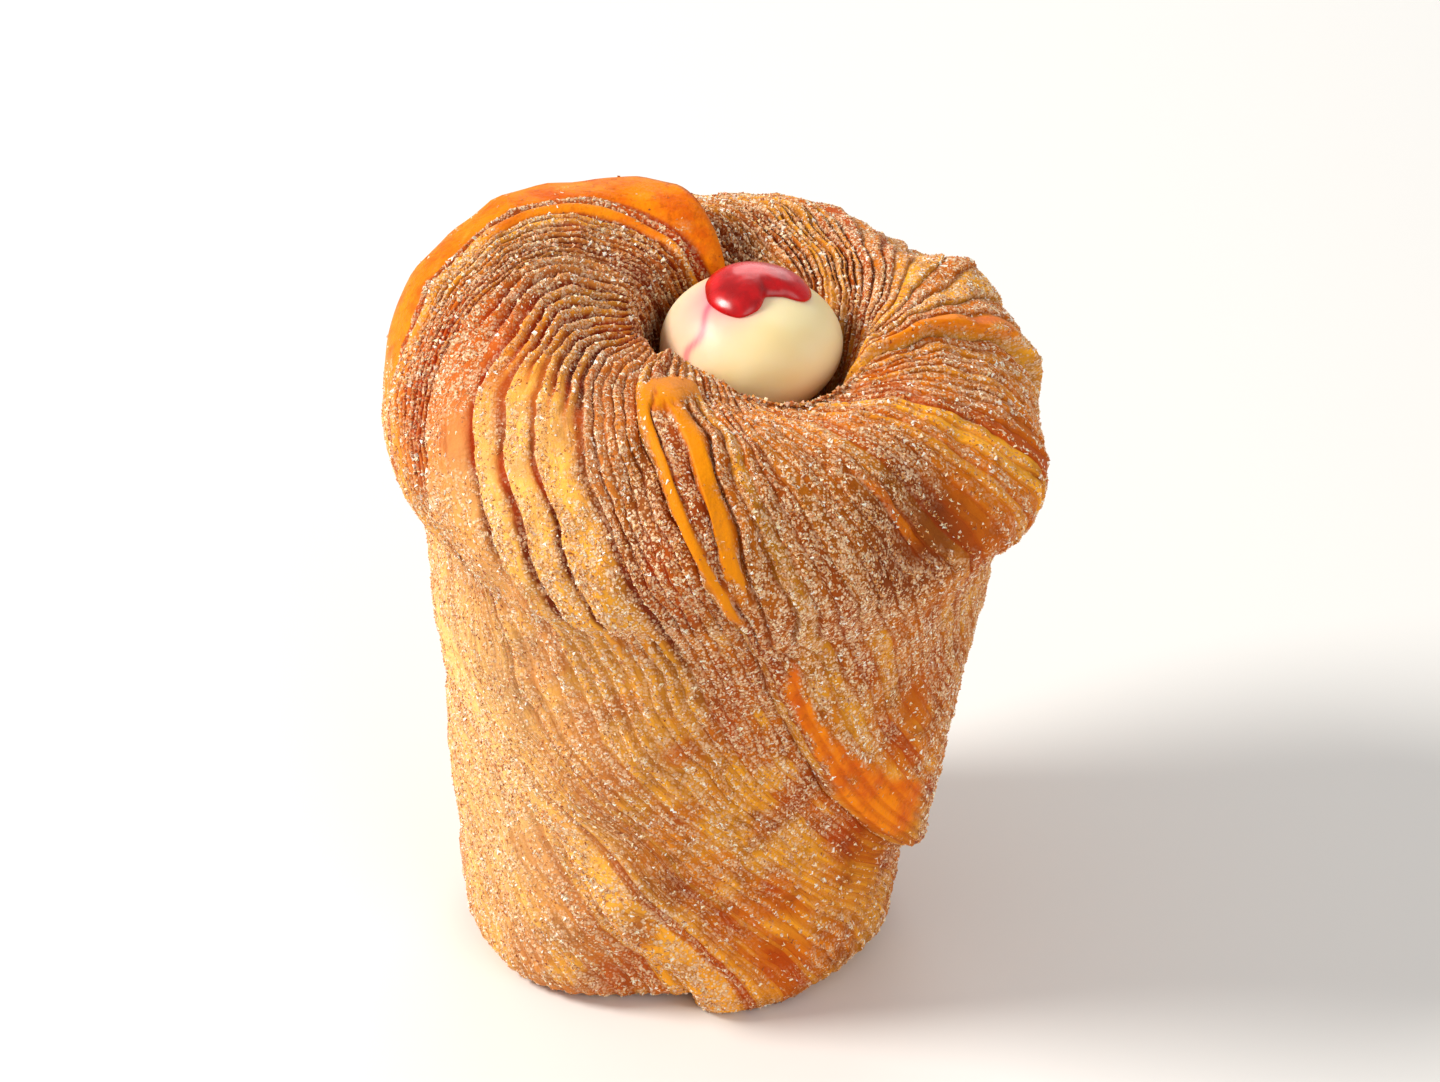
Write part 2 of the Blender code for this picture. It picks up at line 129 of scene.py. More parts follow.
# Width of a groove for a strong ridge, the shares of it that are fixed and that grow with the strength,
# how much wider a strong ridge slopes on its far side, and how wide any ridge slopes there at least
GROOVE_WIDTH = 0.34 * MM
GROOVE_SHARES = (0.45, 0.55)
FAR_SLOPE = 1.2
FAR_LEAST = 0.4

# Neighbouring ridges of strip A, after its fine ones, that run together into broad bands low on the
# crown: how many in each band, and how far they run together down the outline
BAND_RIDGES = (3, 2, 2, 3)
MERGE = ((0, 0.0), (43, 0.0), (53, 1.0), (72, 1.0), (84, 0.0), (166, 0.0))

# Fanning out of the ridges: shares of the strip, how far each moves there against the others, and
# the largest move, as a share, down the outline
TAPER_A = ((0, 0.16, 0.4, 1), (0, -1, 0, 0), ((0, 0.09), (22, 0.08), (34, 0.0), (166, 0.0)))
FAN_A = ((0, 0.16, 0.37, 0.86, 1), (0, 0, 1, 0.2, 0),
         ((0, 0.09), (22, 0.09), (44, 0.08), (57, 0.0), (166, 0.0)))
FAN_C = ((0, 0.06, 0.28, 1), (0, 1, 0, 0),
         ((0, 0.0), (26, 0.0), (38, 0.05), (46, 0.053), (54, 0.024), (60, 0.006), (66, -0.008), (74, -0.03),
          (86, 0.0), (166, 0.0)))
FAN_B = ((0, 0.5, 1), (0, 1, 0), ((0, 0.05), (60, 0.05), (80, 0.0), (166, 0.0)))
FANS = ((TAPER_A, FAN_A), (FAN_C,), (FAN_B,))

# How strong the ridges are across each strip: share of the strip, then strength
STRENGTH_A = ((0, 0.9), (0.3, 0.9), (0.36, 1.6), (0.6, 1.4), (0.8, 1.2), (0.88, 0.5), (1, 0.5))
STRENGTH_C = ((0, 1.0), (0.12, 0.65), (0.3, 0.4), (0.6, 0.4), (1, 0.5))
STRENGTH_B = ((0, 0.5), (0.35, 0.6), (0.55, 1.2), (1, 1.3))

# Rounding of each strip's first edge down the outline, in millimetres
EDGE_ROUND = ((0, 0.6), (70, 0.8), (84, 2.0), (120, 2.6), (141, 5.0), (166, 5.0))

# Depth of the grooves and of the ridges' slant down the outline, how far both lie down the outline by
# direction, the mean level of a ridge, how a ridge comes and goes down the outline as a mean and a
# swing, with waves per millimetre between two values, and the strength of the broad unevenness
GROOVE = ((0, 0.0), (11, 0.0), (18, 0.3), (26, 1.0), (34, 1.2), (60, 1.3), (69, 1.3), (77, 0.5),
          (86, 0.3), (100, 0.28), (130, 0.28), (139, 0.2), (143, 0.0), (166, 0.0))
SHINGLE = ((0, 0.0), (11, 0.0), (18, 0.1), (26, 0.4), (34, 0.8), (60, 1.1), (70, 1.1), (79, 0.4),
           (130, 0.35), (139, 0.2), (143, 0.0), (166, 0.0))
RIM_SHIFT = ((0, 0), (90, 0), (180, 0), (214, 0), (245, 1), (268, 5), (286, 3), (302, -3), (324, 0))
CREST_MEAN = 0.7
RIDGE_FADE = (0.78, 0.3)
RIDGE_FADE_WAVES = (0.05, 0.12)
UNEVEN = ((0, 0.0), (14, 0.0), (26, 0.5), (60, 1.0), (80, 0.8), (130, 0.6), (141, 0.3), (143, 0.0),
          (166, 0.0))

# Lumps and hollows: direction, place along the outline, half widths in degrees and in millimetres,
# then height in millimetres
LUMPS = ((94, 31, 12, 5, -2.2),
         (288, 34, 55, 10, -4.4),
         (286, 25, 34, 6, -1.6),
         (330, 60, 17, 8, 2.4),
         (332, 72, 22, 5, -1.6),
         (306, 61, 8, 8, -2.6),
         (30, 48, 6, 4, 2.2),
         (254, 52, 4, 8, -1.2),
         (4, 57, 6, 4, 1.0),
         (253, 40, 6, 5, 0.9),
         (325, 108, 12, 14, 1.0),
         (232, 124, 14, 12, 1.2),
         (256, 132, 10, 8, -1.6),
         (300, 134, 22, 8, 1.2))

# Places of the columns across one ridge, and each stretch of rows down the outline: from, to and how
# many rows
ACROSS = (0.0, 0.07, 0.15, 0.27, 0.43, 0.6, 0.76, 0.9)
POCKET_ROWS = (5.0, 22.0, 8)
CROWN_ROWS = (22.0, 80.0, 82)
WALL_ROWS = (80.0, 141.5, 57)

# How far a ridge's edge hangs over the groove before it, and how many times as far at a strip's edge
OVERHANG = 0.17 * MM
EDGE_OVERHANG = 3.2

# Strength of the painted shade over the grooves' red-brown crust, for strips A, C and B and the first edges
# of C and B
GROOVE_SHADE_AND_TINT = (1.0, 0.55, 0.65)
EDGE_GROOVE_SHADE_AND_TINT = 0.3

# Unevenness made of waves: size in millimetres, number of waves, seed and share
MEANDER = ((9.0, 10, 7, 0.5), (3.2, 14, 8, 0.18))
BROAD_BUMPS = ((19.0, 9, 1, 0.55), (7.0, 12, 2, 0.22))
CRUMB = ((2.6, 16, 3, 1.0), (1.5, 18, 4, 0.7))
SUGAR_DRIFT = ((14.0, 12, 13, 0.3), (5.0, 14, 14, 0.15))
MEANDER_REACH = 0.7
CRUMB_HEIGHT = 0.10 * MM

# Waves of the sugar's strokes, of the flecks of bare skin and of the ridges' tones on the wall
FLOW_STROKES = ((1.5, 26, 9, 1.0),)
LOOSE_STROKES = ((3.0, 16, 10, 0.5),)
FLECKS = ((5.0, 14, 11, 1.0),)
WALL_TONES = ((9.0, 14, 12, 0.25),)
STROKE_CONTRAST = 0.32
FLECK_EDGE = (-1.9, 0.9)
WALL_TONES_FROM = (66, 20)

# Where the surface gets its overhang and crumb: from and over how much down the outline, and until
# where, over how much
ROUGH_FROM = (20, 8)
ROUGH_TO = (142, 6)

# Strokes of sugar that follow the ridges: step from column to column and down the outline
FLOW_STEP = 0.5
FLOW_ALONG = 0.55

# Ridges that show bare skin without sugar: strip, number of the ridge, from and to along the outline,
# and how bare
BARE_BANDS = ((0, 0, 22, 66, 1.0),
              (0, 2, 28, 50, 0.9),
              (1, 11, 50, 64, 0.6),
              (2, 0, 30, 54, 0.95))

# Golden tongue lying flat over the ridges beside the cream, as a patch like those below, and from what
# strength of the patch it starts and over how much more its edge fades. The two bare strips that run
# down from it: place along the outline and direction, then half the width in millimetres. Then their
# soft edges, their height and the grooves beside them.
TONGUE = ((251, 39.6, 8.6, 6.4, 1.0),)
TONGUE_EDGE = (0.36, 0.3)
STRIPS = ((((42, 254), (44.4, 258), (47.6, 262.5), (50.8, 266), (54, 268), (57.2, 270), (60.4, 271.5),
            (63.6, 273.5), (68, 275)), 1.15),
          (((40, 245), (44.4, 249.5), (48, 254.5), (50.8, 258), (54, 261), (56.8, 263.5), (61.2, 267.5),
            (65.2, 271.5), (72, 276)), 0.75))
STRIP_SOFTNESS = 0.5 * MM
STRIP_HEIGHT = 0.6 * MM
SIDE_PLACE = 0.35 * MM
SIDE_WIDTH = 0.25 * MM
SIDE_DEPTH = 0.35 * MM

# Patches where sugar fills the ridges and softens them
FILLED = ((286, 52, 20, 14, 0.45),
          (222, 56, 24, 16, 0.3),
          (246, 76, 22, 12, 0.35))

# The band and the lobe of bare skin low on the wall, as patches that run into each other, and the tones
# of the broad ridges of the crown by strip and ridge, from 0 for dark to 1 for light
SKIN_PATCHES = ((286, 84, 2.0, 5, 1.0),
                (289, 90, 2.2, 4, 1.0),
                (292.5, 95, 2.4, 4, 1.0),
                (297, 98.5, 2.6, 4, 1.0),
                (301.5, 102, 3.2, 4, 1.0),
                (307, 105, 4.5, 4, 1.0),
                (314, 108, 6.0, 4.5, 1.0),
                (320, 110, 5.0, 4.5, 1.0))
SKIN_EDGE = (0.45, 0.4)
BROAD_TONES = {(0, 12): 0.5, (0, 13): 0.55, (0, 14): 0.5, (0, 15): 0.95, (0, 16): 0.9, (0, 17): 0.95,
               (0, 18): 0.85, (0, 19): 0.8, (0, 20): 0.9, (0, 21): 0.8}

# Patches on the crust: direction, place along the outline, half widths in degrees and in millimetres,
# then strength
SUGAR_PATCHES = ((218, 56, 24, 15, -0.8),
                 (146, 46, 34, 12, -0.4),
                 (170, 36, 22, 8, 0.3),
                 (328, 57, 20, 13, -0.95),
                 (312, 100, 16, 24, -0.4),
                 (306, 62, 8, 8, -0.5),
                 (292, 126, 26, 9, -0.55),
                 (318, 118, 18, 12, -0.6),
                 (246, 36, 22, 9, 0.3),
                 (282, 72, 26, 14, 0.35),
                 (20, 40, 40, 12, 0.2))
# Brown patches are darker crust, and painted shade where they lie in the lumps' hollows and on the wall's
# right
BROWN_AND_SHADE_PATCHES = ((306, 62, 9, 9, 1.0),
                 (262, 58, 8, 14, 0.5),
                 (254, 51, 4, 7, 0.9),
                 (258, 62, 4, 7, 0.7),
                 (285, 68, 26, 14, 0.6),
                 (304, 58, 7, 8, 0.9),
                 (284, 54, 15, 9, 0.5),
                 (332, 88, 14, 20, 0.3),
                 (300, 90, 30, 14, 0.35),
                 (92, 31, 16, 8, 1.0),
                 (320, 118, 16, 8, 0.4))
# Pale patches are paler crust, and painted light on the left of the wall, where the key light falls
PALE_AND_LIT_PATCHES = ((170, 36, 24, 9, 0.3),
                (208, 94, 34, 24, 1.1),
                (206, 122, 34, 18, 0.8),
                (228, 58, 18, 14, 0.5),
                (350, 85, 14, 16, 0.4))
RED_PATCHES = ((206, 54, 14, 16, 1.0),
               (188, 58, 14, 14, 0.9),
               (118, 30, 14, 6, 1.0),
               (261, 63, 3, 5, 1.0),
               (266, 68, 3, 4, 1.0),
               (292, 128, 24, 8, 0.5))

# Cream and jam. The jam's reach is by direction, as a share of the way down the cream. Its edge is
# rounded by two powers, and it grows outwards from a point below the cream's middle.
CREAM_RADIUS = 10.9 * MM
CREAM_HALF_HEIGHT = 8.6 * MM
CREAM_HEIGHT = 81.2 * MM
CREAM_FOOT_RADIUS = 5.6 * MM
CREAM_FOOT_GAP = 1.0 * MM
JAM_THICKNESS = 1.44 * MM
JAM_LIFT = 0.12 * MM
JAM_UNDER = 0.06 * MM
JAM_EDGE = (2.6, 0.7)
JAM_ROOT = 4.0 * MM
JAM_REACH = ((0, 0.205), (90, 0.18), (180, 0.178), (215, 0.198), (250, 0.205), (272, 0.165), (292, 0.095),
             (320, 0.115), (342, 0.19))

# Sugar grains: smallest and largest size of each kind
COARSE_SIZE = (0.60 * MM, 0.88 * MM)
MEDIUM_SIZE = (0.50 * MM, 0.78 * MM)
FINE_SIZE = (0.38 * MM, 0.62 * MM)

# How densely grains lie: from what stroke, over how much more, and the least; by the ridges' edges, as
# a place across a ridge and a width; the shares of both; the share left in a groove; and from where down
# the outline, over how much
GRAIN_CLUMP = (0.36, 0.36, 0.07)
GRAIN_RIM = (0.2, 0.14)
GRAIN_SHARES = (0.75, 0.8)
GRAIN_IN_GROOVE = 0.22
GRAIN_FROM = (22, 6)

# How far a grain's middle stands off the crust and how short and long its arms are, against its size
GRAIN_LIFT = 0.22
GRAIN_ARMS = (0.36, 0.62)

# Each kind's name, number of grains, sizes, lightest and darkest colour, and how thick it lies: a mask,
# the amount where the mask is 0, and what a mask of 1 adds
SUGARS = (("sugar_coarse", 15000, COARSE_SIZE, (255, 246, 230), (206, 134, 74), "brown", 1.0, -0.4),
          ("sugar_medium", 32000, MEDIUM_SIZE, (255, 228, 190), (194, 116, 54), "brown", 1.0, -0.2),
          ("sugar_fine", 32000, FINE_SIZE, (250, 214, 164), (184, 102, 38), "pale", 0.6, 0.8),
          ("sugar_spiced", 32000, FINE_SIZE, (232, 156, 74), (140, 60, 8), "brown", 0.7, 0.6))

# The cream's dome: how far down it ends, as a share of the way and as an angle from the top, and how
# full its round is
CREAM_DOME = 0.72
CREAM_DOME_ANGLE = math.radians(128)
CREAM_FULLNESS = 0.92

# Unevenness of the cream: size as a share, number of lobes and turn in radians of each; and height of
# its raised side in millimetres, with its direction
CREAM_LOBES = ((0.045, 2, 0.6), (0.03, 3, -1.0), (0.03, 1, -5.4))
CREAM_RISE = (0.7, 135)

# Grid of the cream and of the jam: how many directions, then each stretch of rows from the top down
CREAM_DIRECTIONS = 128
CREAM_ROWS = ((0.02, 0.72, 56), (0.76, 1.0, 8))
JAM_DIRECTIONS = 112
JAM_ROWS = ((0.04, 0.9, 18), (0.92, 1.0, 6))

# Stains of jam on the cream, in degrees: direction and half width of the pink side; and direction, turn
# on the way down and half width of the thin line that runs down from it
STAIN_SIDE = (205, 55.0)
STAIN_LINE = (217, 36, 6.0)

# Studio lights: name, place in metres, size, power and colour, and the place that they face
LIGHTS = (("key", (-0.74, -0.06, 0.66), 0.34, 10.5, (1.0, 0.97, 0.92)),
          ("fill", (0.5, -0.8, 0.4), 0.7, 3.2, (1.0, 1.0, 1.0)),
          ("back", (0.1, 0.75, 0.45), 0.5, 1.5, (1.0, 1.0, 1.0)))
LIGHT_AIM = Vector((0.005, 0.0, 0.05))
WORLD_COLOUR = (1.0, 0.99, 0.97, 1)
WORLD_STRENGTH = 0.5
FLOOR_HALF = 3.0

# Camera, fitted to the photograph
CAMERA_HEIGHT_DEGREES = 29.0
CAMERA_DISTANCE = 0.600
CAMERA_TARGET = Vector((0.003, 0.0, 0.045))
PIXELS_PER_MM = 7.85
IMAGE = (1440, 1082)
TARGET_PIXEL = (698.0, 601.4)
SENSOR_WIDTH = 36.0


def outline():
    """Radius and height of the body's outline from the pocket floor to the foot, in mm."""
    lip, top, widest = LIP_HEIGHT / MM, TOP_HEIGHT / MM, CROWN_HEIGHT / MM
    hole, crown, neck = HOLE_RADIUS / MM, CROWN_RADIUS / MM, NECK_RADIUS / MM
    base, throat = BASE_RADIUS / MM, NECK_HEIGHT / MM
    floor = lip - HOLE_DEPTH / MM
    return np.array([
        (0, floor), (hole - 6, floor), (hole - 2.4, floor + 2.6), (hole - 1, lip - 6), (hole, lip),
        (hole + 2.2, lip + 5), (19, top - 0.6), (24.5, top), (31, top - 1.6), (crown - 5.5, top - 5.3),
        (crown - 1.6, top - 10.8), (crown, widest), (crown - 1.7, widest - 6.5),
        (crown - 5.0, widest - 11.5), (neck, throat), (MOUTH_RADIUS / MM, throat - 5),
        (WALL_RADIUS / MM, throat * 0.5), (base + 1.0, 8), (base, 3.0), (base - 2.8, 0.6),
        (FOOT_RADIUS / MM, 0), (0, 0)], float)


def monotone(x, y, at):
    """Smooth curve through the points (x, y) that never overshoots them, read at `at`."""
    x = np.asarray(x, float)
    y = np.asarray(y, float)
    at = np.asarray(at, float)
    width = np.diff(x)
    rise = np.diff(y) / width
    slope = np.zeros(len(x))
    slope[0], slope[-1] = rise[0], rise[-1]
    for i in range(1, len(x) - 1):
        if rise[i - 1] * rise[i] > 0:
            first = 2 * width[i] + width[i - 1]
            second = width[i] + 2 * width[i - 1]
            slope[i] = (first + second) / (first / rise[i - 1] + second / rise[i])
    i = np.clip(np.searchsorted(x, at, side="right") - 1, 0, len(width) - 1)
    t = (at - x[i]) / width[i]
    return ((1 + 2 * t) * (1 - t) ** 2 * y[i] + t * (1 - t) ** 2 * width[i] * slope[i]
            + t * t * (3 - 2 * t) * y[i + 1] + t * t * (t - 1) * width[i] * slope[i + 1])


def table(pairs, at):
    """A named table of (place, value) pairs read as a smooth curve."""
    pairs = np.asarray(pairs, float)
    return monotone(pairs[:, 0], pairs[:, 1], np.clip(at, pairs[0, 0], pairs[-1, 0]))


def round_table(pairs, degrees):
    """The same for a table that closes on itself after 360 degrees."""
    pairs = np.asarray(pairs, float)
    wide = np.concatenate([pairs - (360, 0), pairs, pairs + (360, 0)])
    return monotone(wide[:, 0], wide[:, 1], np.mod(degrees, 360.0))


def smooth(t):
    t = np.clip(t, 0.0, 1.0)
    return t * t * (3 - 2 * t)


OUTLINE = outline()
LENGTH = np.concatenate([[0.0], np.cumsum(np.hypot(*np.diff(OUTLINE, axis=0).T))])


def meridian(s):
    """Radius and height in mm at distance s along the outline."""
    steps = np.concatenate([[0.0], np.cumsum(np.hypot(*np.diff(OUTLINE, axis=0).T) ** 0.5)])
    t = np.interp(s, LENGTH, steps)
    return monotone(steps, OUTLINE[:, 0], t), monotone(steps, OUTLINE[:, 1], t)


def body(s, degrees):
    """Points in mm of the smooth body, with its lean, tilt and uneven crown."""
    radius, height = meridian(s)
    degrees = np.asarray(degrees, float)
    neck, top = NECK_HEIGHT / MM, TOP_HEIGHT / MM
    up = smooth((height - (neck - TILT_HOLD[0])) / (top - neck + TILT_HOLD[1]))
    low = smooth((height - (neck - CROWN_HOLD[0])) / CROWN_HOLD[1])
    near = np.clip(1 - (radius - HOLE_RADIUS / MM) / HOLE_HOLD[0], 0, 1)
    near = near * smooth((height - HOLE_HOLD[1]) / HOLE_HOLD[2])
    out = smooth((radius - OUTER_HOLD[0]) / OUTER_HOLD[1])
    foot = smooth((FOOT_HOLD[0] - height) / FOOT_HOLD[0]) * smooth((radius - FOOT_HOLD[1]) / FOOT_HOLD[2])
    radius = radius + low * out * round_table(CROWN_SWELL, degrees) + foot * round_table(FOOT_SWELL, degrees)
    turn = np.radians(degrees)
    x, y = radius * np.cos(turn), radius * np.sin(turn)
    z = height + up * (TILT_Y * y - TILT_X * x + out * round_table(CROWN_LIFT, degrees))
    x = x + WALL_LEAN * height + CROWN_SHIFT / MM * low + HOLE_SHIFT / MM * near
    return np.stack(np.broadcast_arrays(x, y, z), -1)


def waves(points, size, count, seed):
    """Smooth random unevenness between about -1 and 1, with features of the given size."""
    draw = np.random.default_rng(seed)
    way = draw.normal(size=(count, 3))
    way /= np.linalg.norm(way, axis=1, keepdims=True)
    way *= (2 * math.pi / size) * draw.uniform(0.7, 1.4, (count, 1))
    shift = draw.uniform(0, 2 * math.pi, count)
    total = np.zeros(points.shape[:-1])
    for k in range(count):
        total += np.sin(points @ way[k] + shift[k])
    return total / math.sqrt(count)


def layered(points, layers):
    """Sum of waves of several sizes."""
    return sum(share * waves(points, size, count, SEED + seed) for size, count, seed, share in layers)


def strand_cells():
    """Every ridge: strip, number, start and end as shares of the strip, those of its band, strength."""
    draw = np.random.default_rng(SEED)
    cells = []
    for strand, (bands, count) in enumerate(((BANDS_A, RIDGES_A), (BANDS_C, RIDGES_C), (BANDS_B, RIDGES_B))):
        widths = draw.uniform(*PLAIN_WIDTHS, count)
        if strand == 0:
            widths[:FINE_RIDGES] = draw.uniform(*FINE_WIDTHS, FINE_RIDGES) * FINE_WIDTH
            widths[FINE_RIDGES:] = BROAD_A
        if strand == 2:
            widths[CLOSE_RIDGES_B:] *= CLOSE_WIDTH_B
        widths[:len(bands)] = bands
        edges = np.concatenate([[0.0], np.cumsum(widths)]) / widths.sum()
        bands = list(range(count))
        if strand == 0:
            first = FINE_RIDGES
            for size in BAND_RIDGES:
                bands[first:first + size] = [first] * size
                first += size
        for i in range(count):
            if bands[i] == i:
                last = i + bands.count(i)
                strength = table((STRENGTH_A, STRENGTH_C, STRENGTH_B)[strand], edges[i])
                strength = strength * draw.uniform(*STRENGTHS)
            cells.append((strand, i, edges[i], edges[i + 1], edges[bands[i]], edges[last], strength))
    return cells


def direction(strand, share, s):
    """Direction in degrees of the line at this share of a strip, at distance s."""
    starts = (START_A, START_C, START_B)
    moved = 0.0
    for places, moves, amount in FANS[strand]:
        moved = moved + table(amount, s) * np.interp(share, places, moves)
    share = share + moved
    here = table(starts[strand], s)
    following = table(starts[(strand + 1) % 3], s) + (360.0 if strand == 2 else 0.0)
    turn = here + (following - here) * share
    if strand == 2:
        fade = 1 - smooth((s - SWIRL_HOLD[1]) / SWIRL_HOLD[2])
        turn = turn - EXTRA_SWIRL * np.sin(math.pi * share) * fade * smooth(s / SWIRL_HOLD[0])
    return turn


def edge(strand, share, s):
    """Rounding of the strip's first edge, from 0 at the edge to 1 on the strip."""
    ends = direction(strand, 1.0, s) - direction(strand, 0.0, s)
    inside = share * np.radians(ends) * np.maximum(meridian(s)[0], 1.0)
    return np.sqrt(1 - (1 - np.minimum(inside / table(EDGE_ROUND, s), 1)) ** 2)


def ridge_level(strand, start, end, strength, place, s):
    """Height from 0 in the groove to 1 on the crest, at this place across a ridge."""
    ends = direction(strand, end, s) - direction(strand, start, s)
    width = np.radians(ends) * np.maximum(meridian(s)[0], 1.0)
    reach = GROOVE_WIDTH / MM * (GROOVE_SHARES[0] + GROOVE_SHARES[1] * strength)
    far = np.minimum(reach * (1 + FAR_SLOPE * strength ** 2), np.maximum(reach, FAR_LEAST * width))
    return (1 - np.exp(-(place * width / reach) ** 2)) * (1 - np.exp(-((1 - place) * width / far) ** 2))


def patches(spots, s, turn):
    """Sum of soft-edged patches over the crust."""
    total = np.zeros(turn.shape)
    for middle, place, wide, long, strength in spots:
        away = (np.mod(turn - middle + 180, 360) - 180) / wide
        total += strength * np.exp(-away ** 2 - ((s - place) / long) ** 2)
    return total


def strips(s, turn):
    """The bare strips beside the cream, and the narrow grooves along their edges."""
    strip, side = np.zeros(turn.shape), np.zeros(turn.shape)
    for line, half in STRIPS:
        away = np.mod(turn - table(line, s) + 180, 360) - 180
        away = np.abs(np.radians(away) * meridian(s)[0])
        ends = smooth((s - line[0][0]) / 2) * smooth((line[-1][0] - s) / 5)
        strip = np.maximum(strip, smooth((half - away) / (STRIP_SOFTNESS / MM) + 0.5) * ends)
        groove = np.exp(-((away - half - SIDE_PLACE / MM) / (SIDE_WIDTH / MM)) ** 2)
        side = np.maximum(side, groove * ends)
    return strip, side * (1 - strip)


def band_bareness(strand, number, s):
    """How bare of sugar a ridge is, down the outline."""
    bare = np.zeros(len(s))
    for band_strand, band, low, high, much in BARE_BANDS:
        if (band_strand, band) == (strand, number):
            bare = np.maximum(bare, much * smooth((s - low) / 4) * smooth((high - s) / 5))
    return bare


def strip_step(strand, share, s, first):
    """Height of a strip over the body's surface; its first column still lies on the strip before it."""
    steps = (STEP_A, STEP_C, STEP_B)
    before = -STEP_MEAN * table(steps[(strand + 2) % 3], s)
    if first:
        return before
    step = table(steps[strand], s) * ((1 - share) ** STEP_FALL - STEP_MEAN)
    return before + (step - before) * edge(strand, share, s)


def ridge_columns(s):
    """The columns of the crust's grid, eight to a ridge, and what each of them is like."""
    draw = np.random.default_rng(SEED + 5)
    merge = table(MERGE, s)
    columns = []
    for strand, number, start, end, first, last, strength in strand_cells():
        tone = draw.uniform(0, 1)
        tone = BROAD_TONES.get((strand, number), tone)
        swing = np.sin(s * draw.uniform(*RIDGE_FADE_WAVES) + draw.uniform(0, 2 * math.pi))
        fade = RIDGE_FADE[0] + RIDGE_FADE[1] * swing
        bare = band_bareness(strand, number, s)
        hang = EDGE_OVERHANG if number == 0 else 1.0
        # How strongly the groove is painted dark: painted shade over its red-brown crust
        shade_and_tint = EDGE_GROOVE_SHADE_AND_TINT if number == 0 and strand > 0 else GROOVE_SHADE_AND_TINT[strand]
        for place in ACROSS:
            share = start + (end - start) * place
            turn = direction(strand, share, s)
            whole = (share - first) / (last - first)
            level = ridge_level(strand, start, end, strength, place, s) * (1 - merge)
            level = level + ridge_level(strand, first, last, strength, whole, s) * merge
            slope = 0.5 - place * (1 - merge) - whole * merge
            rim = s - round_table(RIM_SHIFT, turn)
            groove, shingle = table(GROOVE, rim), table(SHINGLE, rim)
            columns.append({
                "turn": turn,
                "step": strip_step(strand, share, s, number == 0 and place == 0.0),
                "relief": strength * (groove * fade * (level - CREST_MEAN) + shingle * slope * level),
                "level": level,
                "bare": bare * np.minimum(level * 1.2, 1.0),
                "tone": np.full(len(s), tone),
                "over": level * np.maximum(0.0, (slope - 0.1) / 0.4) * groove * hang,
                "deep": groove * fade * strength * shade_and_tint,
                "across": 0.5 - slope,
            })
    return {key: np.array([column[key] for column in columns]) for key in columns[0]}


def surface_normal(s, turn):
    """Outward normal of the smooth body."""
    small = 1e-3
    along = body(s + small, turn) - body(s - small, turn)
    around = body(s, turn + small) - body(s, turn - small)
    normal = np.cross(along, around)
    return normal / np.linalg.norm(normal, axis=-1, keepdims=True)


def crust_grid(rows):
    """Points of the crust in mm by column and row, and the masks that its material reads."""
    s = np.asarray(rows, float)
    ridges = ridge_columns(s)
    turn = ridges["turn"]
    s = np.broadcast_to(s, turn.shape)
    strip, side = strips(s, turn)
    strip = np.maximum(smooth((patches(TONGUE, s, turn) - TONGUE_EDGE[0]) / TONGUE_EDGE[1]), strip)
    skin = smooth((patches(SKIN_PATCHES, s, turn) - SKIN_EDGE[0]) / SKIN_EDGE[1])
    bare = np.maximum(np.maximum(ridges["bare"], strip), skin)
    level = np.maximum(ridges["level"], strip) * (1 - 0.7 * side)
    filled = np.minimum(patches(FILLED, s, turn), 1)
    height = ridges["step"] + ridges["relief"] * (1 - strip) * (1 - filled)
    height = height + strip * STRIP_HEIGHT / MM - side * SIDE_DEPTH / MM

    foot = smooth((ROUGH_TO[0] - s) / ROUGH_TO[1])
    inside = smooth((s - ROUGH_FROM[0]) / ROUGH_FROM[1]) * foot
    meander = layered(body(s, turn), MEANDER) * MEANDER_REACH * (1 - 0.9 * bare)
    move = (meander - ridges["over"] * OVERHANG / MM) * inside
    turn = turn + np.degrees(move / np.maximum(meridian(s)[0], 6.0))
    points = body(s, turn)

    height = height + patches(LUMPS, s, turn) * foot
    height = height + table(UNEVEN, s) * layered(points, BROAD_BUMPS)
    height = height + CRUMB_HEIGHT / MM * (1 - 0.8 * bare) * inside * layered(points, CRUMB)
    points = points + surface_normal(s, turn) * height[..., None]
    points[..., 2] = np.maximum(points[..., 2], 0.0)

    flow = np.stack([np.cumsum(np.ones(turn.shape), axis=0) * FLOW_STEP, s * FLOW_ALONG, 0 * s], -1)
    strokes = layered(flow, FLOW_STROKES) + layered(points, LOOSE_STROKES)
    bare = bare * smooth((layered(points, FLECKS) - FLECK_EDGE[0]) / FLECK_EDGE[1])
    sugar = 1 + patches(SUGAR_PATCHES, s, turn) + layered(points, SUGAR_DRIFT)
    wall = smooth((s - WALL_TONES_FROM[0]) / WALL_TONES_FROM[1])
    tone = ridges["tone"] + wall * layered(points, WALL_TONES)
    masks = {
        "bare": bare,
        "gold": strip,
        "stroke": np.clip(0.5 + STROKE_CONTRAST * strokes, 0, 1),
        "level": level,
        "tone": np.clip(tone, 0, 1),
        "across": ridges["across"],
        "along": s,
        # Painted shade in the grooves over their red-brown crust, weaker where sugar fills them
        "deep": ridges["deep"] * (1 - filled),
        "sugar": np.clip(sugar, 0, 1.6) * (1 - bare),
        # brown is darker crust and painted shade; pale is paler crust and painted light
        "brown": np.clip(patches(BROWN_AND_SHADE_PATCHES, s, turn), 0, 1),
        "pale": np.clip(patches(PALE_AND_LIT_PATCHES, s, turn), 0, 1),
        "red": np.clip(patches(RED_PATCHES, s, turn), 0, 1),
    }
    return points, masks


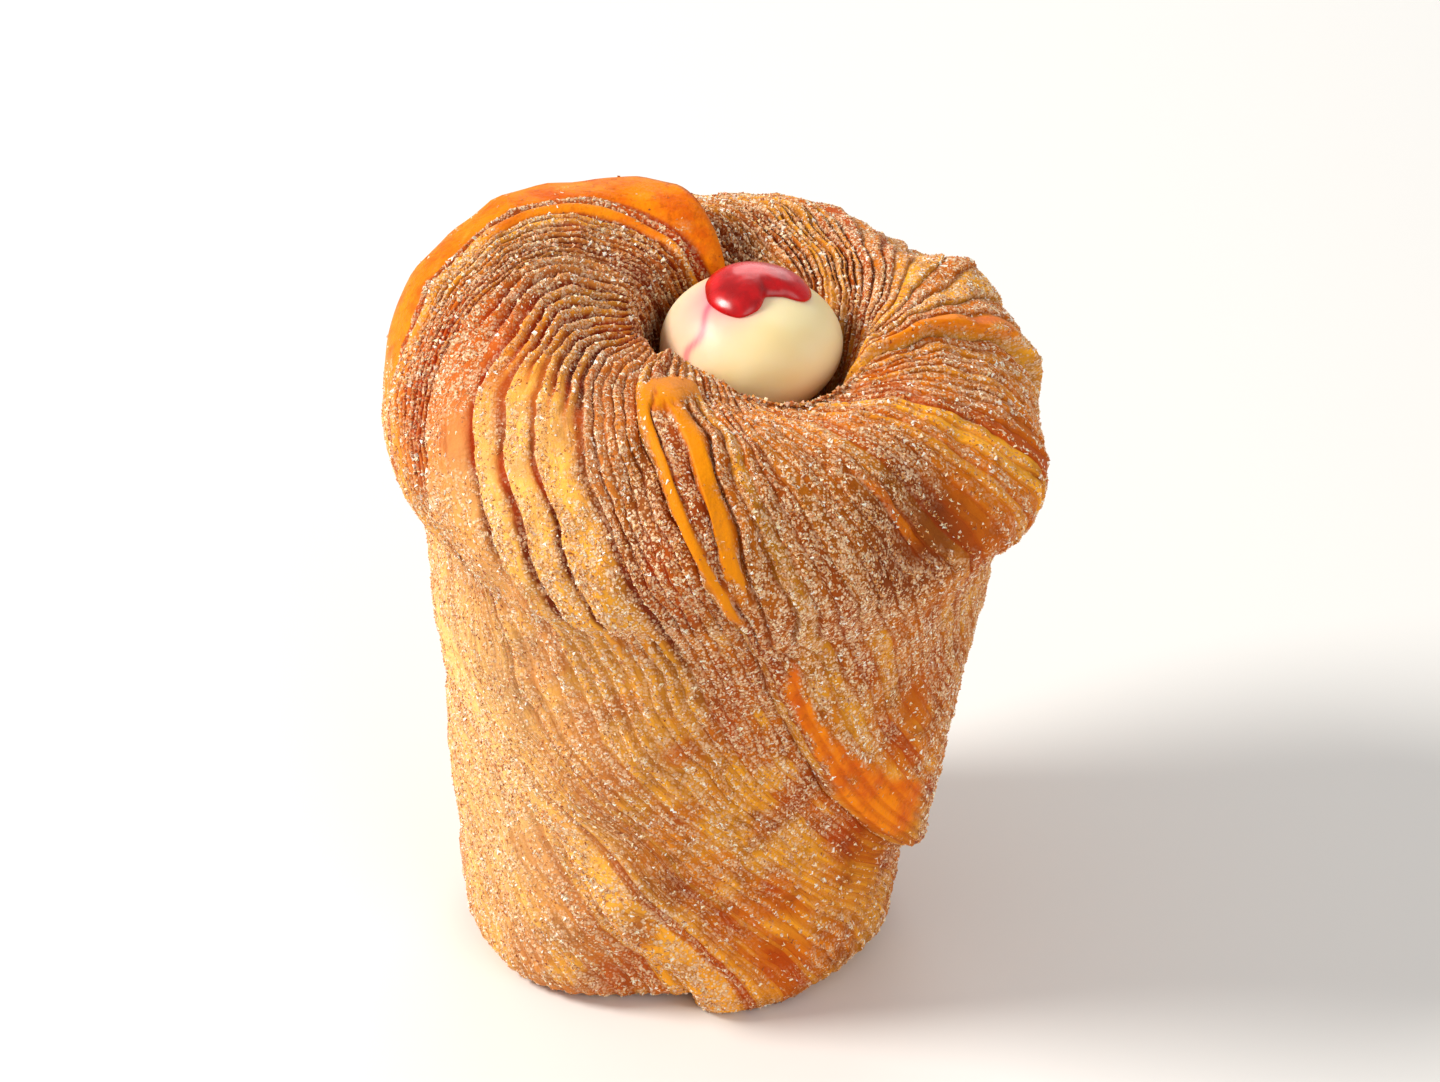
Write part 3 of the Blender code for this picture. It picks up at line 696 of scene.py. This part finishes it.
def closed_mesh(name, rings, masks=None):
    """Closed body from rings of points in mm, closed by a fan at each end."""
    columns, rows = rings.shape[:2]
    count = columns * rows
    points = np.concatenate([rings.reshape(-1, 3), [rings[:, 0].mean(axis=0)], [rings[:, -1].mean(axis=0)]])
    i = np.arange(columns)[:, None]
    j = np.arange(rows - 1)[None, :]
    after = (i + 1) % columns
    corner, beside = i * rows + j, after * rows + j
    quads = np.stack(np.broadcast_arrays(corner, corner + 1, beside + 1, beside), -1)
    k = np.arange(columns)
    following = (k + 1) % columns
    first = np.stack([np.full(columns, count), k * rows, following * rows], -1)
    last = np.stack([np.full(columns, count + 1), following * rows + rows - 1, k * rows + rows - 1], -1)
    mesh = bpy.data.meshes.new(name)
    faces = quads.reshape(-1, 4).tolist() + first.tolist() + last.tolist()
    mesh.from_pydata((points * MM).tolist(), [], faces)
    for key, values in (masks or {}).items():
        layer = mesh.attributes.new(key, "FLOAT", "POINT")
        ends = [values[:, 0].mean(), values[:, -1].mean()]
        layer.data.foreach_set("value", np.concatenate([values.reshape(-1), ends]).astype(np.float32))
    mesh.shade_smooth()
    part = bpy.data.objects.new(name, mesh)
    bpy.context.scene.collection.objects.link(part)
    return part


def faces_out(part):
    """Turn the faces of a closed piece outwards."""
    bm = bmesh.new()
    bm.from_mesh(part.data)
    bmesh.ops.recalc_face_normals(bm, faces=bm.faces)
    bm.to_mesh(part.data)
    bm.free()


def cream_middle():
    """Middle of the cream in mm, on the leaning axis of the pocket."""
    height = CREAM_HEIGHT / MM
    return np.array([WALL_LEAN * height + (CROWN_SHIFT + HOLE_SHIFT) / MM, 0.0, height])


def cream_surface(around, level):
    """Point in mm on the cream: direction in radians, and level from 0 (top) to 1 (foot)."""
    wide, tall = CREAM_RADIUS / MM, CREAM_HALF_HEIGHT / MM
    turn, level = np.broadcast_arrays(np.asarray(around, float), np.asarray(level, float))
    polar = np.minimum(level / CREAM_DOME, 1.0) * CREAM_DOME_ANGLE
    radius = wide * np.sin(polar) ** CREAM_FULLNESS
    height = tall * np.cos(polar)
    lobes = np.ones(turn.shape)
    for size, number, shift in CREAM_LOBES:
        lobes = lobes + size * np.cos(number * turn + shift)
    radius = radius * (1 + (lobes - 1) * np.sin(polar))
    raised = np.cos(turn - math.radians(CREAM_RISE[1]))
    height = height + CREAM_RISE[0] * raised * np.sin(polar) * (1 - level)
    below = (level - CREAM_DOME) / (1 - CREAM_DOME)
    rim = wide * math.sin(CREAM_DOME_ANGLE) ** CREAM_FULLNESS
    foot = OUTLINE[0, 1] + (CREAM_FOOT_GAP - CREAM_HEIGHT) / MM
    radius = np.where(below > 0, rim + (CREAM_FOOT_RADIUS / MM - rim) * smooth(below), radius)
    height = np.where(below > 0, height + (foot - height) * below, height)
    middle = cream_middle()
    x = middle[0] + radius * np.cos(turn) + WALL_LEAN * height
    y = middle[1] + radius * np.sin(turn)
    return np.stack([x, y, middle[2] + height], -1)


class Nodes:
    """Short calls for building a material's nodes."""

    def __init__(self, name):
        self.material = bpy.data.materials.new(name)
        self.material.use_nodes = True
        self.tree = self.material.node_tree
        self.shader = self.tree.nodes["Principled BSDF"]
        self.coordinates = self.tree.nodes.new("ShaderNodeTexCoord").outputs["Object"]

    def put(self, socket, value):
        if isinstance(value, bpy.types.NodeSocket):
            self.tree.links.new(value, socket)
        else:
            socket.default_value = value

    def attribute(self, name):
        node = self.tree.nodes.new("ShaderNodeAttribute")
        node.attribute_name = name
        return node.outputs["Fac"]

    def noise(self, scale, detail=3.0, roughness=0.55, vector=None):
        node = self.tree.nodes.new("ShaderNodeTexNoise")
        self.put(node.inputs["Vector"], vector or self.coordinates)
        node.inputs["Scale"].default_value = scale
        node.inputs["Detail"].default_value = detail
        node.inputs["Roughness"].default_value = roughness
        return node.outputs["Fac"]

    def cells(self, scale):
        """Distance to the nearest cell's middle, and two random values of that cell."""
        node = self.tree.nodes.new("ShaderNodeTexVoronoi")
        self.put(node.inputs["Vector"], self.coordinates)
        node.inputs["Scale"].default_value = scale
        split = self.tree.nodes.new("ShaderNodeSeparateColor")
        self.put(split.inputs["Color"], node.outputs["Color"])
        return node.outputs["Distance"], split.outputs["Red"], split.outputs["Green"]

    def math(self, operation, a, b):
        node = self.tree.nodes.new("ShaderNodeMath")
        node.operation = operation
        self.put(node.inputs[0], a)
        self.put(node.inputs[1], b)
        return node.outputs[0]

    def plus(self, a, b):
        return self.math("ADD", a, b)

    def times(self, a, b):
        return self.math("MULTIPLY", a, b)

    def span(self, value, low, high, to_low=0.0, to_high=1.0):
        node = self.tree.nodes.new("ShaderNodeMapRange")
        node.interpolation_type = "SMOOTHSTEP"
        self.put(node.inputs["Value"], value)
        for key, number in (("From Min", low), ("From Max", high), ("To Min", to_low), ("To Max", to_high)):
            node.inputs[key].default_value = number
        return node.outputs["Result"]

    def mix(self, share, a, b):
        node = self.tree.nodes.new("ShaderNodeMix")
        node.data_type = "RGBA"
        self.put(node.inputs["Factor"], share)
        self.put(node.inputs["A"], a)
        self.put(node.inputs["B"], b)
        return node.outputs["Result"]

    def join(self, x, y):
        node = self.tree.nodes.new("ShaderNodeCombineXYZ")
        for socket, value in zip(node.inputs, (x, y)):
            self.put(socket, value)
        return node.outputs["Vector"]

    def bump(self, height, distance, strength=1.0):
        node = self.tree.nodes.new("ShaderNodeBump")
        node.inputs["Strength"].default_value = strength
        node.inputs["Distance"].default_value = distance
        self.put(node.inputs["Height"], height)
        self.tree.links.new(node.outputs["Normal"], self.shader.inputs["Normal"])


def rgb(red, green, blue):
    """Linear colour from the 0 to 255 values that a screen shows."""
    out = []
    for value in (red, green, blue):
        value /= 255.0
        out.append(value / 12.92 if value <= 0.04045 else ((value + 0.055) / 1.055) ** 2.4)
    return (*out, 1.0)


def dough_colour(n):
    """Baked dough: golden to brown, mottled, with pale patches partly of painted light, brown ones partly of
    painted shade, red patches and fine streaks.
    """
    tone = n.attribute("tone")
    golden = n.mix(n.span(n.noise(55, 3.0, 0.5), 0.35, 0.65), rgb(200, 98, 6), rgb(230, 132, 16))
    golden = n.mix(n.span(tone, 0.55, 0.9), golden, rgb(252, 172, 40))
    golden = n.mix(n.span(tone, 0.35, 0.0), golden, rgb(186, 76, 2))
    golden = n.mix(n.span(n.noise(210, 4.0, 0.6), 0.46, 0.72, 0.0, 0.7), golden, rgb(132, 50, 4))
    # Pale patches: paler crust, and painted light on the left of the wall
    colour = n.mix(n.times(n.attribute("pale"), 0.8), golden, rgb(252, 204, 128))
    # Brown patches: darker crust, and painted shade in the hollows and on the wall's right
    colour = n.mix(n.times(n.attribute("brown"), 0.85), colour, rgb(112, 46, 10))
    colour = n.mix(n.times(n.attribute("red"), 0.45), colour, rgb(206, 78, 8))
    over = n.times(n.plus(n.attribute("across"), tone), 7.0)
    streaks = n.noise(1.0, 3.0, 0.6, n.join(over, n.times(n.attribute("along"), 0.16)))
    return n.mix(n.span(streaks, 0.52, 0.7, 0.0, 0.45), colour, rgb(158, 72, 12))


def skin_colour(n):
    """Bare orange skin with darker flecks, more golden on the tongue and its strips."""
    skin = n.mix(n.span(n.noise(160, 4.0, 0.65), 0.38, 0.68), rgb(240, 132, 0), rgb(212, 90, 0))
    skin = n.mix(n.span(n.noise(900, 3.0, 0.65), 0.54, 0.7, 0.0, 0.45), skin, rgb(160, 66, 0))
    return n.mix(n.times(n.attribute("gold"), 0.8), skin, rgb(220, 134, 2))


def groove_colour_and_shade(n):
    """Painted shade between the ridges over their red-brown crust, redder on the red patches and warmer
    where little sugar lies.
    """
    dark = n.mix(n.attribute("red"), rgb(116, 40, 4), rgb(168, 40, 0))
    return n.mix(n.span(n.attribute("sugar"), 0.7, 0.25), dark, rgb(168, 58, 4))


def sugar_on(n, colour):
    """Fine sugar as uneven cells over a colour, thickest on the ridges' edges, and how much there is."""
    level, across = n.attribute("level"), n.attribute("across")
    frost = n.times(n.span(across, 0.0, 0.12), n.span(across, 0.42, 0.22))
    frost = n.times(frost, n.span(n.attribute("deep"), 0.3, 1.0))
    amount = n.plus(n.times(n.attribute("stroke"), 1.3), n.times(frost, 0.35))
    film = 0.0
    for size, spread in ((1900, 0.0), (2900, 0.08)):
        away, chance, tint = n.cells(size)
        there = n.span(n.plus(n.plus(amount, chance), spread), 1.06, 1.2)
        there = n.times(there, n.span(away, 0.66, 0.36))
        there = n.times(there, n.span(n.attribute("sugar"), 0.0, 1.0))
        there = n.times(there, n.span(level, 0.1, 0.9, 0.35, 1.0))
        sugar = n.mix(tint, rgb(255, 226, 188), rgb(210, 134, 68))
        colour = n.mix(n.times(there, 0.85), colour, sugar)
        film = n.plus(film, there)
    return colour, film


def crust_material():
    n = Nodes("crust")
    bare, level, deep = n.attribute("bare"), n.attribute("level"), n.attribute("deep")
    colour = n.mix(bare, dough_colour(n), skin_colour(n))
    # Grooves darken towards their bottoms: painted shade over their red-brown crust
    shade_and_tint_share = n.times(n.span(level, 0.98, 0.4), n.span(deep, 0.15, 0.95, 0.3, 1.0))
    colour, film = sugar_on(n, n.mix(shade_and_tint_share, colour, groove_colour_and_shade(n)))
    n.put(n.shader.inputs["Base Color"], colour)
    n.put(n.shader.inputs["Roughness"], n.mix(bare, (0.62, 0.62, 0.62, 1), (0.46, 0.46, 0.46, 1)))
    n.shader.inputs["Specular IOR Level"].default_value = 0.1
    n.shader.inputs["Subsurface Weight"].default_value = 0.04
    n.shader.inputs["Subsurface Radius"].default_value = (1.0, 0.45, 0.15)
    n.shader.inputs["Subsurface Scale"].default_value = 0.0012
    fine = n.plus(n.noise(1500, 3.0, 0.6), n.times(film, 0.8))
    n.bump(n.plus(fine, n.times(n.noise(480, 3.0, 0.6), 1.2)), 0.00022, 0.7)
    return n.material


def sugar_material(name, light, dark):
    n = Nodes(name)
    shade = n.plus(n.attribute("shade"), n.times(n.noise(900, 2.0, 0.6), 0.4))
    n.put(n.shader.inputs["Base Color"], n.mix(n.span(shade, 0.25, 1.15), light, dark))
    n.put(n.shader.inputs["Roughness"], n.span(n.noise(1400, 1.0), 0.35, 0.65, 0.28, 0.55))
    n.shader.inputs["Subsurface Weight"].default_value = 0.25
    n.shader.inputs["Subsurface Scale"].default_value = 0.0008
    n.bump(n.noise(3200, 2.0), 0.00006, 0.5)
    return n.material


def cream_material():
    n = Nodes("cream")
    colour = n.mix(n.span(n.noise(90, 2.0), 0.35, 0.65), rgb(246, 230, 182), rgb(240, 219, 160))
    colour = n.mix(n.attribute("bleed"), colour, rgb(238, 110, 146))
    colour = n.mix(n.attribute("streak"), colour, rgb(226, 70, 110))
    n.put(n.shader.inputs["Base Color"], colour)
    n.put(n.shader.inputs["Roughness"], n.span(n.noise(300, 2.0), 0.3, 0.7, 0.38, 0.5))
    n.shader.inputs["Subsurface Weight"].default_value = 0.6
    n.shader.inputs["Subsurface Radius"].default_value = (1.0, 0.8, 0.45)
    n.shader.inputs["Subsurface Scale"].default_value = 0.0018
    n.bump(n.plus(n.noise(160, 2.0), n.times(n.noise(700, 2.0), 0.15)), 0.0004, 0.35)
    return n.material


def jam_material():
    n = Nodes("jam")
    colour = n.mix(n.span(n.noise(260, 3.0), 0.35, 0.7), rgb(208, 0, 12), rgb(152, 0, 6))
    n.put(n.shader.inputs["Base Color"], colour)
    n.put(n.shader.inputs["Roughness"], n.span(n.noise(400, 2.0), 0.3, 0.7, 0.22, 0.32))
    n.shader.inputs["Specular IOR Level"].default_value = 0.35
    n.shader.inputs["Subsurface Weight"].default_value = 0.1
    n.shader.inputs["Subsurface Radius"].default_value = (1.0, 0.1, 0.1)
    n.shader.inputs["Subsurface Scale"].default_value = 0.002
    n.shader.inputs["Coat Weight"].default_value = 0.1
    n.shader.inputs["Coat Roughness"].default_value = 0.1
    n.bump(n.noise(220, 2.0), 0.0006, 0.4)
    return n.material


def dress(part, material, replaced=()):
    """Give a piece its material and its body."""
    part.data.materials.clear()
    part.data.materials.append(material)
    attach(part, "root")
    if replaced:
        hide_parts(*replaced)
    return part


def crust_rows():
    """Places of the grid's rows down the outline in mm, closest on the crown."""
    pocket = np.linspace(*POCKET_ROWS, endpoint=False)
    crown = np.linspace(*CROWN_ROWS, endpoint=False)
    return np.concatenate([pocket, crown, np.linspace(*WALL_ROWS), [LENGTH[-2]]])


def grains(name, points, masks, count, sizes, seed, thickness):
    """Sugar grains as small uneven six-sided crystals, lying where the sugar mask is dense."""
    draw = np.random.default_rng(seed)
    a, b = points[:, :-1], np.roll(points, -1, axis=0)[:, :-1]
    c, d = np.roll(points, -1, axis=0)[:, 1:], points[:, 1:]
    normal = np.cross(c - a, d - b)
    area = np.linalg.norm(normal, axis=-1) / 2
    normal /= np.maximum(np.linalg.norm(normal, axis=-1, keepdims=True), 1e-12)
    stroke = masks["stroke"][:, :-1]
    clump = smooth((stroke - GRAIN_CLUMP[0]) / GRAIN_CLUMP[1]) + GRAIN_CLUMP[2]
    rim = np.exp(-((masks["across"][:, :-1] - GRAIN_RIM[0]) / GRAIN_RIM[1]) ** 2)
    rim = rim * (1 - masks["bare"][:, :-1])
    sugar = np.clip(masks["sugar"][:, :-1], 0.03, 2) * clump * GRAIN_SHARES[0]
    weight = area * (sugar + GRAIN_SHARES[1] * rim)
    weight *= GRAIN_IN_GROOVE + (1 - GRAIN_IN_GROOVE) * smooth(masks["level"][:, :-1] / 0.9)
    weight *= smooth((masks["along"][:, :-1] - GRAIN_FROM[0]) / GRAIN_FROM[1]) * thickness[:, :-1]
    weight = weight.reshape(-1) / weight.sum()
    chosen = draw.choice(len(weight), count, p=weight)
    u, v = draw.uniform(0, 1, (2, count, 1))
    corner = [corners.reshape(-1, 3)[chosen] for corners in (a, b, c, d)]
    place = (1 - u) * (1 - v) * corner[0] + u * (1 - v) * corner[1]
    place = place + u * v * corner[2] + (1 - u) * v * corner[3]
    size = draw.uniform(sizes[0], sizes[1], (count, 1)) / MM
    outward = normal.reshape(-1, 3)[chosen]
    place = place + outward * size * GRAIN_LIFT
    axes = np.linalg.qr(draw.normal(size=(count, 3, 3)))[0]
    third = 2 * math.pi / 3
    around = [axes[:, 0] * math.cos(k * third) + axes[:, 1] * math.sin(k * third) for k in range(3)]
    arms = np.stack(around + [axes[:, 2], -axes[:, 2]], axis=1) * size[:, :, None]
    corners = arms * draw.uniform(*GRAIN_ARMS, (count, 5, 1)) + place[:, None, :]
    pattern = np.array([(0, 1, 3), (1, 2, 3), (2, 0, 3), (1, 0, 4), (2, 1, 4), (0, 2, 4)])
    handed = np.linalg.det(axes) < 0
    order = np.where(handed[:, None, None], pattern[None, :, ::-1], pattern[None])
    faces = (order + (np.arange(count) * 5)[:, None, None]).reshape(-1, 3)
    mesh = bpy.data.meshes.new(name)
    mesh.from_pydata((corners.reshape(-1, 3) * MM).tolist(), [], faces.tolist())
    shade = mesh.attributes.new("shade", "FLOAT", "POINT")
    shade.data.foreach_set("value", np.repeat(draw.uniform(0, 1, count), 5))
    part = bpy.data.objects.new(name, mesh)
    bpy.context.scene.collection.objects.link(part)
    return part


def make_crust():
    points, masks = crust_grid(crust_rows())
    crust = closed_mesh("crust", points, masks)
    dress(crust, crust_material(), ("pastry",))
    for number, (name, count, sizes, light, dark, mask, least, added) in enumerate(SUGARS):
        thickness = least + added * masks[mask]
        part = grains(name, points, masks, count, sizes, SEED + 100 + number * 10, thickness)
        dress(part, sugar_material(name, rgb(*light), rgb(*dark)))


def make_cream():
    turn = np.linspace(0, 2 * math.pi, CREAM_DIRECTIONS, endpoint=False)[:, None]
    level = np.concatenate([np.linspace(*stretch) for stretch in CREAM_ROWS])[None, :]
    points = cream_surface(turn, level)
    degrees = np.degrees(turn)
    reach = round_table(JAM_REACH, degrees)
    side = np.exp(-((np.mod(degrees - STAIN_SIDE[0] + 180, 360) - 180) / STAIN_SIDE[1]) ** 2)
    bleed = np.exp(-np.maximum(level - reach, 0) / (0.014 + 0.2 * side)) * (0.25 + 0.6 * side)
    course = STAIN_LINE[0] + STAIN_LINE[1] * (level - 0.2) + 5 * np.sin(level * 25)
    width = STAIN_LINE[2] * np.maximum(1.0 - level, 1e-6)
    line = np.exp(-((np.mod(degrees - course + 180, 360) - 180) / width) ** 2)
    streak = line * smooth((0.56 - level) / 0.12) * smooth((level - 0.1) / 0.05)
    shape = np.broadcast_shapes(turn.shape, level.shape)
    masks = {"bleed": np.broadcast_to(np.clip(bleed, 0, 1) * 0.85, shape),
             "streak": np.broadcast_to(streak * 0.75, shape)}
    cream = closed_mesh("cream_dollop", points, masks)
    faces_out(cream)
    dress(cream, cream_material(), ("cream",))


def make_jam():
    turn = np.linspace(0, 2 * math.pi, JAM_DIRECTIONS, endpoint=False)[:, None]
    share = np.concatenate([np.linspace(*stretch) for stretch in JAM_ROWS])[None, :]
    surface = cream_surface(turn, share * round_table(JAM_REACH, np.degrees(turn)))
    outward = surface - (cream_middle() - (0, 0, JAM_ROOT / MM))
    outward /= np.linalg.norm(outward, axis=-1, keepdims=True)
    thick = JAM_THICKNESS / MM * (1 - share ** JAM_EDGE[0]) ** JAM_EDGE[1]
    top = surface + outward * (JAM_LIFT / MM + thick[..., None])
    under = surface + outward * JAM_UNDER / MM
    jam = closed_mesh("jam_cap", np.concatenate([top, under[:, ::-1]], axis=1))
    faces_out(jam)
    dress(jam, jam_material(), ("jam",))


def make_floor():
    corners = [(-FLOOR_HALF, -FLOOR_HALF, 0), (FLOOR_HALF, -FLOOR_HALF, 0), (FLOOR_HALF, FLOOR_HALF, 0),
               (-FLOOR_HALF, FLOOR_HALF, 0)]
    mesh = bpy.data.meshes.new("floor")
    mesh.from_pydata(corners, [], [(0, 1, 2, 3)])
    floor = bpy.data.objects.new("floor", mesh)
    bpy.context.scene.collection.objects.link(floor)
    n = Nodes("floor")
    n.put(n.shader.inputs["Base Color"], n.mix(n.noise(2.0), (0.80, 0.79, 0.77, 1), (0.82, 0.81, 0.79, 1)))
    n.shader.inputs["Roughness"].default_value = 0.8
    mesh.materials.append(n.material)


def make_light():
    for name, place, size, power, colour in LIGHTS:
        light = bpy.data.lights.new(name, "AREA")
        light.shape = "DISK"
        light.size = size
        light.energy = power
        light.color = colour
        part = bpy.data.objects.new(name, light)
        part.location = place
        part.rotation_euler = (LIGHT_AIM - Vector(place)).to_track_quat("-Z", "Y").to_euler()
        bpy.context.scene.collection.objects.link(part)
    world = bpy.data.worlds.new("studio")
    bpy.context.scene.world = world
    world.use_nodes = True
    world.node_tree.nodes["Background"].inputs["Color"].default_value = WORLD_COLOUR
    world.node_tree.nodes["Background"].inputs["Strength"].default_value = WORLD_STRENGTH
    bpy.context.scene.view_settings.view_transform = "Standard"


def make_camera():
    rise = math.radians(CAMERA_HEIGHT_DEGREES)
    camera = bpy.data.cameras.new("camera")
    part = bpy.data.objects.new("camera", camera)
    part.location = CAMERA_TARGET + Vector((0, -math.cos(rise), math.sin(rise))) * CAMERA_DISTANCE
    part.rotation_euler = (math.pi / 2 - rise, 0, 0)
    focal_pixels = PIXELS_PER_MM / MM * CAMERA_DISTANCE
    camera.sensor_width = SENSOR_WIDTH
    camera.lens = focal_pixels * SENSOR_WIDTH / IMAGE[0]
    camera.shift_x = (IMAGE[0] / 2 - TARGET_PIXEL[0]) / IMAGE[0]
    camera.shift_y = (TARGET_PIXEL[1] - IMAGE[1] / 2) / IMAGE[0]
    bpy.context.scene.collection.objects.link(part)
    bpy.context.scene.camera = part


make_crust()
make_cream()
make_jam()
make_floor()
make_light()
make_camera()
